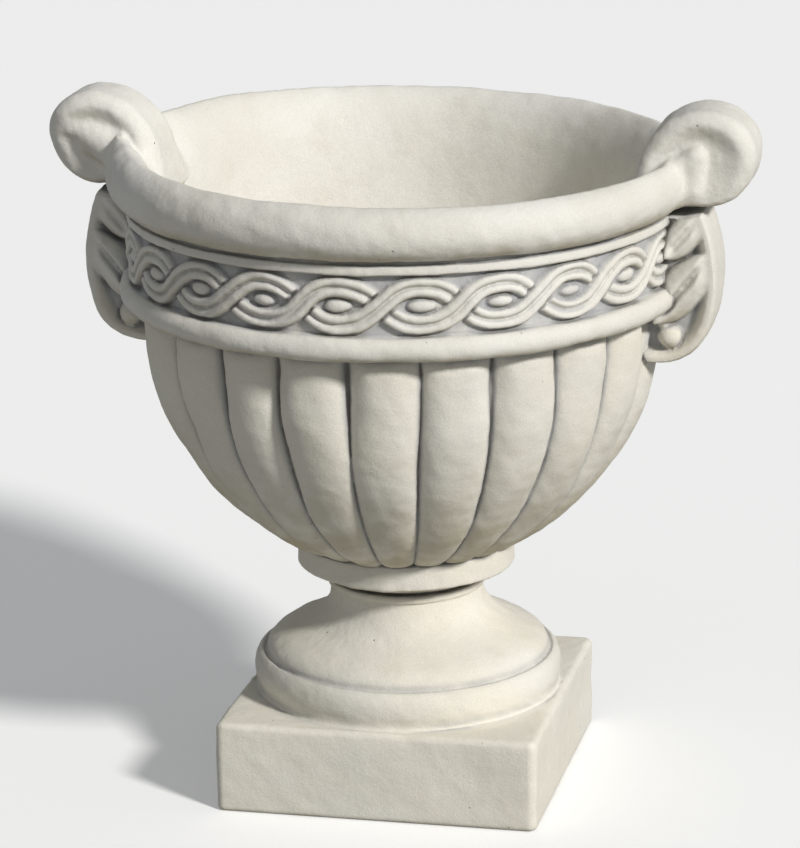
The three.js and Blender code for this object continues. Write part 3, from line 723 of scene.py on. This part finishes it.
def scroll_outline():
    top, bottom = SCROLL_Z + SCROLL_HALF_HEIGHT, SCROLL_Z - SCROLL_HALF_HEIGHT
    foot, behind_rim = (FLARE_RADIUS + 4, RIM_BASE + 3), (FLARE_RADIUS - 7, RIM_TOP - 6)
    rise = bend(foot, behind_rim, (SCROLL_X - 44, top), (SCROLL_X, top), 40)
    roll = arc((SCROLL_X, SCROLL_Z), (SCROLL_HALF_LENGTH, SCROLL_HALF_HEIGHT), 89, -95, 80)
    back = line((SCROLL_X - 13, bottom + 0.4), (RIM_CENTRE - 4, RIM_BASE + 6.5), 10)
    close = line((RIM_CENTRE - 8, RIM_BASE + 5), (FLARE_RADIUS + 5, RIM_BASE + 2), 6)
    return np.vstack([rise, roll, back, close])


def inner_coils(x, y, z):
    """The ends of the rim's roll that turn into the scroll's two faces."""
    face = COIL_FACE
    upright = rod_field(x, y, z, (272, -face, 576), (274, -face, 604), 10.5, 10.5)
    neck = rod_field(x, y, z, (255, -face - 2, 592), (273, -face, 603), 11, 9.5)
    lens = rod_field(x, y, z, (266, face + 1, 598), (302, face - 5, 612), 11, 6.5)
    lip = rod_field(x, y, z, (262, face + 1, 588), (285, face - 6, 597), 11, 10)
    return melt(melt(upright, neck, 3), melt(lens, lip, 9), 1)


def scroll_mesh(name, side_of_x):
    low, high = (190, 535), (345, 660)
    band_outline = plane_field(scroll_outline(), low, high)
    section = plane_field(rim_section(), low, high)

    def roll_field(x, y, z):
        """The rim's own roll, which thins into it at both ends of the piece."""
        reach = np.hypot(x, y)
        out, up = rim_settling(side_of_x * x, side_of_x * y)
        out_share, up_share = rim_weights(reach, z)
        inset = 0.5 + 2.0 * smoothstep(54, 74, np.abs(y))
        depth = section(reach - out * out_share, z - up * up_share) + inset
        return np.maximum(depth, np.abs(y) - ROLL_REACH)

    def field(x, y, z):
        to_wall = 1 - smoothstep(FLARE_RADIUS, FLARE_RADIUS + 42, x)
        flat = band_outline(x + to_wall * y ** 2 / (2 * FLARE_RADIUS), z)
        inner_side = 1 - 0.7 * smoothstep(-5, 45, x - SCROLL_X - 0.7 * (z - SCROLL_Z))
        dish = DISH_DEPTH * inner_side * smoothstep(9, 30, -flat)
        edge = SCROLL_EDGE - 8 * (1 - smoothstep(562, 588, z))
        low_and_out = smoothstep(-15, 50, 0.6 * (x - SCROLL_X) - (z - SCROLL_Z))
        lean = SCROLL_LEAN * low_and_out * (y > 0)
        band = rounded_slab(flat, np.abs(y) - SCROLL_HALF_WIDTH + dish + lean, edge)
        handle = melt(band, inner_coils(x, y, z), 5 + 5 * (y > 0))
        fillet = 9 + 15 * (1 - smoothstep(FLARE_RADIUS + 8, CREST_RADIUS, x))
        return melt(handle, roll_field(x, y, z), fillet)

    mesh = net_mesh(name, (199, -81, 545), (334, 81, 652), HANDLE_STEP, field)
    return turn_and_weather(mesh, side_of_x, BOWL_SEED)


def turn_and_weather(mesh, side_of_x, seed):
    if side_of_x < 0:
        mesh.transform(Matrix.Rotation(math.pi, 4, "Z"))
    weather(mesh, seed, np.ones(len(mesh.vertices)))
    return mesh


# ---------- Leaf brackets ----------

def bracket_outer_face():
    shoulder = (284, BRACKET_TOP - 5)
    knee, tip = (284, 438), (229, 411.5)
    face = bend(shoulder, (297, 515), (300, 470), knee, 40)
    heel = bend(knee, (274, 418), (255, 409.5), tip, 30)
    return np.vstack([face, heel[1:]])


def bracket_outline():
    seat = [(222, 425), (227, 445), (236, 463), (238, 470), (238, BRACKET_TOP - 4)]
    top = [(262, BRACKET_TOP - 4), (273, BRACKET_TOP - 1.5), (281, BRACKET_TOP)]
    return np.vstack([bracket_outer_face(), seat, top])


def leaf(x, z, base, tip, half_width, relief, crease):
    """Height of a plump pointed leaf from its base to its tip, with a crease along its middle."""
    base, tip = np.array(base, float), np.array(tip, float)
    length = np.hypot(*(tip - base))
    along_x, along_z = (tip - base) / length
    along = ((x - base[0]) * along_x + (z - base[1]) * along_z) / length
    across = (z - base[1]) * along_x - (x - base[0]) * along_z
    share = np.clip(along, 0, 1)
    width = half_width * np.sin(math.pi * share ** 0.8) ** 0.6 + 1e-3
    inside = np.clip(1 - (across / width) ** 2, 0, 1) * ((along > 0) & (along < 1))
    lengthwise = smoothstep(0.05, 0.25, share) * (1 - smoothstep(0.7, 0.98, share))
    fold = crease * np.exp(-(across / 3.6) ** 2) * lengthwise
    return relief * inside ** 0.62 - fold * (inside > 0)


def bud(x, z, middle, radius, relief):
    away = (x - middle[0]) ** 2 + (z - middle[1]) ** 2
    return relief * np.clip(1 - away / radius ** 2, 0, 1) ** 0.5


def bracket_relief(x, z, from_face):
    """Height of a side over the plane of the strap's border."""
    forms = [leaf(x, z, *UPPER_LEAF), leaf(x, z, *LARGE_LEAF), bud(x, z, *BERRY), bud(x, z, *CALYX)]
    ornament = np.maximum.reduce(forms) - LEAF_GROUND
    hollow = np.full(np.broadcast(x, z).shape, -LEAF_GROUND)
    for pit_x, pit_z, size in PITS:
        hollow = hollow - PIT_DEPTH * np.exp(-((x - pit_x) ** 2 + (z - pit_z) ** 2) / size ** 2)
    carved = np.maximum(hollow, ornament)
    inward = smoothstep(STRAP_BORDER - 6, STRAP_BORDER + 6, from_face)
    over_border = np.where(ornament > -1.5, ornament, -40) - 12 * (1 - inward)
    return np.maximum(carved * inward, over_border)


def bracket_mesh(name, side_of_x):
    low, high = (205, 395), (310, 570)
    outline = plane_field(bracket_outline(), low, high)
    face = bracket_outer_face()
    behind = [(200, 400), (200, 560)]
    outer_side = plane_field(np.vstack([face, behind, [(284, 560)]]), low, high)

    def field(x, y, z):
        flat = outline(x, z)
        crown = 1.2 * (y / BRACKET_HALF_WIDTH) ** 2
        relief = bracket_relief(x, z, -outer_side(x, z))
        across = np.abs(y) - BRACKET_HALF_WIDTH
        strap = rounded_slab(flat + crown, across - np.minimum(relief, 0), BRACKET_EDGE)
        raised = np.maximum(flat + 3, across - relief)
        return melt(strap, raised, 2)

    mesh = net_mesh(name, (214, -42, 403), (303, 42, 559), BRACKET_STEP, field)
    # Depth in the hollows of the sides, for blue-grey antiquing that is partly painted shade.
    points = vertex_points(mesh) / MM
    inside_border = outer_side(points[:, 0], points[:, 2]) < -STRAP_BORDER / 2
    on_side = np.abs(vertex_normals(mesh)[:, 1]) * inside_border
    depth = (BRACKET_HALF_WIDTH - np.abs(points[:, 1])) / LEAF_GROUND
    store(mesh, "sunken", smoothstep(0.3, 1.0, depth) * smoothstep(0.1, 0.5, on_side))
    return turn_and_weather(mesh, side_of_x, BRACKET_SEED)


# ---------- Dirt and painted shade: how closed in each point of the castings is ---

def hemisphere_directions(count):
    """Directions round +Z, denser towards it."""
    golden = math.pi * (3 - math.sqrt(5))
    directions = []
    for i in range(count):
        up = math.sqrt((i + 0.5) / count)
        level = math.sqrt(1 - up * up)
        directions.append((level * math.cos(i * golden), level * math.sin(i * golden), up))
    return np.array(directions)


def tangent_frames(normals):
    helper = np.where(np.abs(normals[:, 2:3]) < 0.9, [[0.0, 0.0, 1.0]], [[1.0, 0.0, 0.0]])
    across = np.cross(helper, normals)
    across /= np.maximum(np.linalg.norm(across, axis=1, keepdims=True), 1e-9)
    return across, np.cross(normals, across)


def store_closeness(pieces):
    """Stores on each vertex how much of its outlook is shut off near by (narrow) and further out
    (wide), and how far it faces down (under)."""
    points, faces = [], []
    for piece in pieces:
        start = len(points)
        points += [vertex.co.copy() for vertex in piece.data.vertices]
        faces += [[start + i for i in face.vertices] for face in piece.data.polygons]
    tree = BVHTree.FromPolygons(points, faces)
    for piece in pieces:
        origins = vertex_points(piece.data)
        normals = vertex_normals(piece.data)
        across, along = tangent_frames(normals)
        starts = origins + normals * RAY_START * MM
        narrow = np.zeros(len(origins))
        wide = np.zeros(len(origins))
        for x, y, z in hemisphere_directions(OUTLOOK_RAYS):
            rays = across * x + along * y + normals * z
            distance = np.full(len(origins), WIDE_REACH)
            for i, (start, ray) in enumerate(zip(starts.tolist(), rays.tolist())):
                _, facing, _, hit = tree.ray_cast(start, ray, WIDE_REACH * MM)
                if hit is not None and facing.dot(ray) < 0:
                    distance[i] = hit / MM
            narrow += np.clip(1 - distance / NARROW_REACH, 0, 1)
            wide += np.clip(1 - distance / WIDE_REACH, 0, 1)
        store(piece.data, "narrow", narrow / OUTLOOK_RAYS)
        store(piece.data, "wide", wide / OUTLOOK_RAYS)
        store(piece.data, "under", np.clip(-normals[:, 2], 0, 1))


# ---------- Materials ----------

class Nodes:
    """Short names for making and joining a material's nodes."""

    def __init__(self, name):
        self.material = bpy.data.materials.new(name)
        self.material.use_nodes = True
        self.tree = self.material.node_tree
        self.shader = self.tree.nodes["Principled BSDF"]
        self.place = self.add("ShaderNodeTexCoord").outputs["Object"]

    def add(self, kind, **settings):
        node = self.tree.nodes.new(kind)
        for key, value in settings.items():
            setattr(node, key, value)
        return node

    def plug(self, value, socket):
        if isinstance(value, bpy.types.NodeSocket):
            self.tree.links.new(value, socket)
        else:
            socket.default_value = value

    def noise(self, scale, detail=4.0, roughness=0.55, stretch=None):
        node = self.add("ShaderNodeTexNoise")
        place = self.place
        if stretch:
            mapping = self.add("ShaderNodeMapping")
            mapping.inputs["Scale"].default_value = stretch
            self.plug(place, mapping.inputs["Vector"])
            place = mapping.outputs["Vector"]
        self.plug(place, node.inputs["Vector"])
        node.inputs["Scale"].default_value = scale
        node.inputs["Detail"].default_value = detail
        node.inputs["Roughness"].default_value = roughness
        return node.outputs["Fac"]

    def ramp(self, value, low, high):
        """Maps low to 0 and high to 1, eased."""
        node = self.add("ShaderNodeMapRange", interpolation_type="SMOOTHSTEP")
        self.plug(value, node.inputs["Value"])
        node.inputs["From Min"].default_value = low
        node.inputs["From Max"].default_value = high
        return node.outputs["Result"]

    def math(self, operation, *values):
        node = self.add("ShaderNodeMath", operation=operation)
        for socket, value in zip(node.inputs, values):
            self.plug(value, socket)
        return node.outputs[0]

    def mix(self, share, first, second, blend="MIX"):
        node = self.add("ShaderNodeMix", data_type="RGBA", blend_type=blend)
        self.plug(share, node.inputs[0])
        self.plug(first, node.inputs[6])
        self.plug(second, node.inputs[7])
        return node.outputs[2]

    def tint(self, base, mask, share, tone):
        return self.mix(self.math("MULTIPLY", mask, share), base, tone)

    def patchy(self, mask, scale, low, high, detail=5):
        """The mask, broken up by noise."""
        return self.math("MULTIPLY", mask, self.ramp(self.noise(scale, detail), low, high))

    def attribute(self, name):
        return self.add("ShaderNodeAttribute", attribute_name=name).outputs["Fac"]

    def pits(self, scale, size, share):
        """1 in small round pits, in a share of the cells of a Voronoi pattern."""
        cells = self.add("ShaderNodeTexVoronoi")
        self.plug(self.place, cells.inputs["Vector"])
        cells.inputs["Scale"].default_value = scale
        hole = self.math("SUBTRACT", 1.0, self.ramp(cells.outputs["Distance"], size * 0.5, size))
        separate = self.add("ShaderNodeSeparateColor")
        self.plug(cells.outputs["Color"], separate.inputs[0])
        chosen = self.math("LESS_THAN", separate.outputs[0], share)
        return self.math("MULTIPLY", hole, chosen)

    def bump(self, layers):
        """Layers of (height, depth in metres), laid over each other."""
        normal = None
        for height, depth in layers:
            node = self.add("ShaderNodeBump")
            node.inputs["Distance"].default_value = depth
            self.plug(height, node.inputs["Height"])
            if normal is not None:
                self.plug(normal, node.inputs["Normal"])
            normal = node.outputs["Normal"]
        self.plug(normal, self.shader.inputs["Normal"])

    def finish(self, colour, roughness):
        self.plug(colour, self.shader.inputs["Base Color"])
        self.plug(roughness, self.shader.inputs["Roughness"])
        return self.material


def colour(red, green, blue):
    return (red, green, blue, 1.0)


DEEP_IVORY = colour(0.80, 0.772, 0.70)
PALE_IVORY = colour(0.875, 0.853, 0.795)
SANDY_PATCH = colour(0.74, 0.705, 0.62)
EARTHY = colour(0.86, 0.81, 0.675)
DARK_GRAIN = colour(0.60, 0.58, 0.52)
WHITE = colour(1.0, 1.0, 1.0)
# Painted olive-brown shade for surfaces that face down.
OLIVE_UNDERSIDE_SHADE = colour(0.47, 0.41, 0.26)
# Blue-grey for a streaky film that is partly painted shade.
GREY_FILM_AND_SHADE = colour(0.37, 0.385, 0.415)
# Blue-grey for antiquing in the recesses that is partly painted shade.
GREY_ANTIQUING_AND_SHADE = colour(0.36, 0.37, 0.395)
# Dark brown for dirt and painted shade in tight crevices.
CREVICE_DIRT_AND_SHADE = colour(0.27, 0.255, 0.225)
HOLE_SHADE = colour(0.11, 0.10, 0.085)


def cast_stone(name):
    """Ivory cast stone: cloudy colour, fine sand, blow holes, blue-grey antiquing in the recesses that is
    partly painted shade, dirt and painted shade in crevices, and painted olive-brown shade on the
    undersides."""
    nodes = Nodes(name)
    nodes.shader.inputs["Specular IOR Level"].default_value = 0.25
    base = nodes.mix(nodes.ramp(nodes.noise(6.5, 5), 0.34, 0.68), DEEP_IVORY, PALE_IVORY)
    base = nodes.tint(base, nodes.ramp(nodes.noise(21, 6, 0.6), 0.48, 0.74), 0.5, SANDY_PATCH)
    split = nodes.add("ShaderNodeSeparateXYZ")
    nodes.plug(nodes.place, split.inputs[0])
    below_frieze = nodes.ramp(split.outputs["Z"], 0.480, 0.440)
    base = nodes.tint(base, nodes.patchy(below_frieze, 9, 0.25, 0.62), 0.55, EARTHY)
    sand = nodes.noise(620, 3, 0.7)
    base = nodes.mix(0.22, base, nodes.mix(nodes.ramp(sand, 0.3, 0.7), DARK_GRAIN, WHITE), "MULTIPLY")
    # Painted olive-brown shade on surfaces that face down, more of it the further they face down.
    under = nodes.ramp(nodes.attribute("under"), 0.15, 0.95)
    base = nodes.tint(base, nodes.patchy(under, 30, 0.20, 0.62), 0.72, OLIVE_UNDERSIDE_SHADE)
    # A streaky blue-grey film and painted shade where the outlook is shut off further out.
    streaks = nodes.ramp(nodes.noise(18, 5, 0.6, stretch=(1, 1, 0.3)), 0.2, 0.6)
    wide = nodes.ramp(nodes.attribute("wide"), 0.10, 0.50)
    base = nodes.tint(base, nodes.math("MULTIPLY", wide, streaks), 0.72, GREY_FILM_AND_SHADE)
    # Blue-grey antiquing in the recesses, partly painted shade; on the foot, painted shade in the bell's
    # step.
    base = nodes.tint(base, nodes.patchy(nodes.attribute("sunken"), 34, 0.15, 0.6), 0.7, GREY_ANTIQUING_AND_SHADE)
    # Dirt and painted shade in tight crevices, where the outlook is shut off near by.
    narrow = nodes.ramp(nodes.attribute("narrow"), 0.08, 0.42)
    base = nodes.tint(base, nodes.patchy(narrow, 70, 0.15, 0.55, detail=4), 0.75, CREVICE_DIRT_AND_SHADE)
    holes = nodes.pits(80, 0.075, 0.11)
    base = nodes.tint(base, holes, 0.85, HOLE_SHADE)
    rough = nodes.math("ADD", 0.78, nodes.math("MULTIPLY", sand, 0.16))
    pitted = nodes.math("SUBTRACT", 1.0, holes)
    nodes.bump([(nodes.noise(48, 5), 0.0012), (sand, 0.00035), (pitted, 0.0010)])
    return nodes.finish(base, rough)


def mortar():
    nodes = Nodes("mortar_bed")
    grains = nodes.noise(420, 4, 0.7)
    clouds = nodes.ramp(nodes.noise(30, 5), 0.35, 0.7)
    base = nodes.mix(clouds, colour(0.36, 0.33, 0.28), colour(0.50, 0.47, 0.42))
    speckle = nodes.mix(grains, colour(0.3, 0.28, 0.25), colour(0.9, 0.88, 0.84))
    base = nodes.mix(0.35, base, speckle, "MULTIPLY")
    nodes.bump([(grains, 0.0006)])
    return nodes.finish(base, nodes.math("ADD", 0.8, nodes.math("MULTIPLY", grains, 0.15)))


def moulded_plastic():
    nodes = Nodes("spigot_moulded_plastic")
    scuffs = nodes.ramp(nodes.noise(55, 6, 0.7, stretch=(1, 1, 0.15)), 0.45, 0.75)
    base = nodes.mix(scuffs, colour(0.16, 0.17, 0.175), colour(0.30, 0.31, 0.31))
    grain = nodes.noise(900, 2)
    nodes.bump([(grain, 0.0001), (scuffs, 0.00015)])
    return nodes.finish(base, nodes.math("ADD", 0.42, nodes.math("MULTIPLY", scuffs, 0.25)))


def drawn_steel():
    nodes = Nodes("dowel_drawn_steel")
    nodes.shader.inputs["Metallic"].default_value = 1.0
    lines = nodes.noise(260, 4, 0.6, stretch=(1, 1, 0.06))
    base = nodes.mix(lines, colour(0.46, 0.46, 0.455), colour(0.66, 0.66, 0.65))
    nodes.bump([(lines, 0.00008)])
    return nodes.finish(base, nodes.math("ADD", 0.26, nodes.math("MULTIPLY", lines, 0.2)))


def dress_node(node, material):
    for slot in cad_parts[node].material_slots:
        slot.material = material


# ---------- Surroundings: the photo's solved camera, a soft sun, a pale floor ----------

CAMERA_AZIMUTH = 12.9
CAMERA_ELEVATION = 16.3
CAMERA_ROLL = 0.9
CAMERA_DISTANCE = 3757.6
CAMERA_LENS = 172.3
CAMERA_TARGET_HEIGHT = 336.0
CAMERA_TARGET_SHIFT = -4.4
CAMERA_CLIP = (0.05, 60)
SUN_TOWARDS = (0.74, -0.48, 0.56)
SUN_STRENGTH = 2.85
SUN_SPREAD = 8.0
SUN_COLOUR = (1.0, 0.985, 0.965)
SKY_COLOUR = (0.90, 0.945, 1.0, 1.0)
SKY_STRENGTH = 0.25
FLOOR_HALF = 25.0
FLOOR_LIT = (0.40, 0.40, 0.39)
FLOOR_SEEN = (0.97, 0.97, 0.96)
FLOOR_GLOW = (1.0, 1.0, 0.99)
FLOOR_GLOW_STRENGTH = 0.16


def aim_camera():
    azimuth, elevation, roll = (math.radians(a) for a in (CAMERA_AZIMUTH, CAMERA_ELEVATION, CAMERA_ROLL))
    level = math.cos(elevation)
    back = Vector((math.sin(azimuth) * level, -math.cos(azimuth) * level, math.sin(elevation)))
    right = Vector((math.cos(azimuth), math.sin(azimuth), 0))
    up = back.cross(right)
    target = Vector((0, 0, CAMERA_TARGET_HEIGHT)) + right * CAMERA_TARGET_SHIFT
    axis_x = right * math.cos(roll) - up * math.sin(roll)
    axis_y = right * math.sin(roll) + up * math.cos(roll)
    data = bpy.data.cameras.new("camera")
    data.lens = CAMERA_LENS
    data.clip_start, data.clip_end = CAMERA_CLIP
    camera = put_in_scene("camera", data)
    turn = Matrix((axis_x, axis_y, back)).transposed().to_4x4()
    camera.matrix_world = Matrix.Translation((target + back * CAMERA_DISTANCE) * MM) @ turn
    bpy.context.scene.camera = camera


def set_light():
    data = bpy.data.lights.new("key", "SUN")
    data.energy = SUN_STRENGTH
    data.angle = math.radians(SUN_SPREAD)
    data.color = SUN_COLOUR
    key = put_in_scene("key", data)
    key.rotation_mode = "QUATERNION"
    key.rotation_quaternion = Vector(SUN_TOWARDS).normalized().to_track_quat("Z", "Y")
    world = bpy.data.worlds.new("studio")
    world.use_nodes = True
    background = world.node_tree.nodes["Background"]
    background.inputs["Color"].default_value = SKY_COLOUR
    background.inputs["Strength"].default_value = SKY_STRENGTH
    bpy.context.scene.world = world


def lay_floor():
    mesh = bpy.data.meshes.new("studio_floor")
    corners = [(x * FLOOR_HALF, y * FLOOR_HALF, 0) for x, y in ((-1, -1), (1, -1), (1, 1), (-1, 1))]
    mesh.from_pydata(corners, [], [(0, 1, 2, 3)])
    floor = put_in_scene("studio_floor", mesh)
    nodes = Nodes("studio_floor")
    seen = nodes.add("ShaderNodeLightPath").outputs["Is Camera Ray"]
    nodes.shader.inputs["Emission Color"].default_value = colour(*FLOOR_GLOW)
    glow = nodes.math("MULTIPLY", seen, FLOOR_GLOW_STRENGTH)
    nodes.plug(glow, nodes.shader.inputs["Emission Strength"])
    tone = nodes.mix(seen, colour(*FLOOR_LIT), colour(*FLOOR_SEEN))
    mesh.materials.append(nodes.finish(tone, 0.95))


# ---------- Assembly ----------

def make_castings():
    stone = cast_stone("ivory_cast_stone")
    castings = [
        add_piece("pedestal_foot_casting", foot_mesh(), stone, "pedestal_foot"),
        add_piece("urn_bowl_casting", bowl_mesh(), stone, "urn_bowl"),
    ]
    for side, side_of_x in (("right", 1), ("left", -1)):
        scroll = scroll_mesh(f"scroll_handle_{side}_casting", side_of_x)
        castings.append(add_piece(scroll.name, scroll, stone, f"scroll_handle_{side}"))
        bracket = bracket_mesh(f"leaf_bracket_{side}_casting", side_of_x)
        castings.append(add_piece(bracket.name, bracket, stone, f"leaf_bracket_{side}"))
    store_closeness(castings)


def dress_hidden_nodes():
    dress_node("mortar_bed_ring", mortar())
    dress_node("drain_spigot_tube", moulded_plastic())
    steel = drawn_steel()
    for side in ("left", "right"):
        for number in (1, 2):
            dress_node(f"scroll_dowel_{side}_{number}", steel)
            dress_node(f"bracket_dowel_{side}_{number}", steel)


bpy.context.scene.view_settings.view_transform = "Standard"
aim_camera()
set_light()
lay_floor()
make_castings()
dress_hidden_nodes()
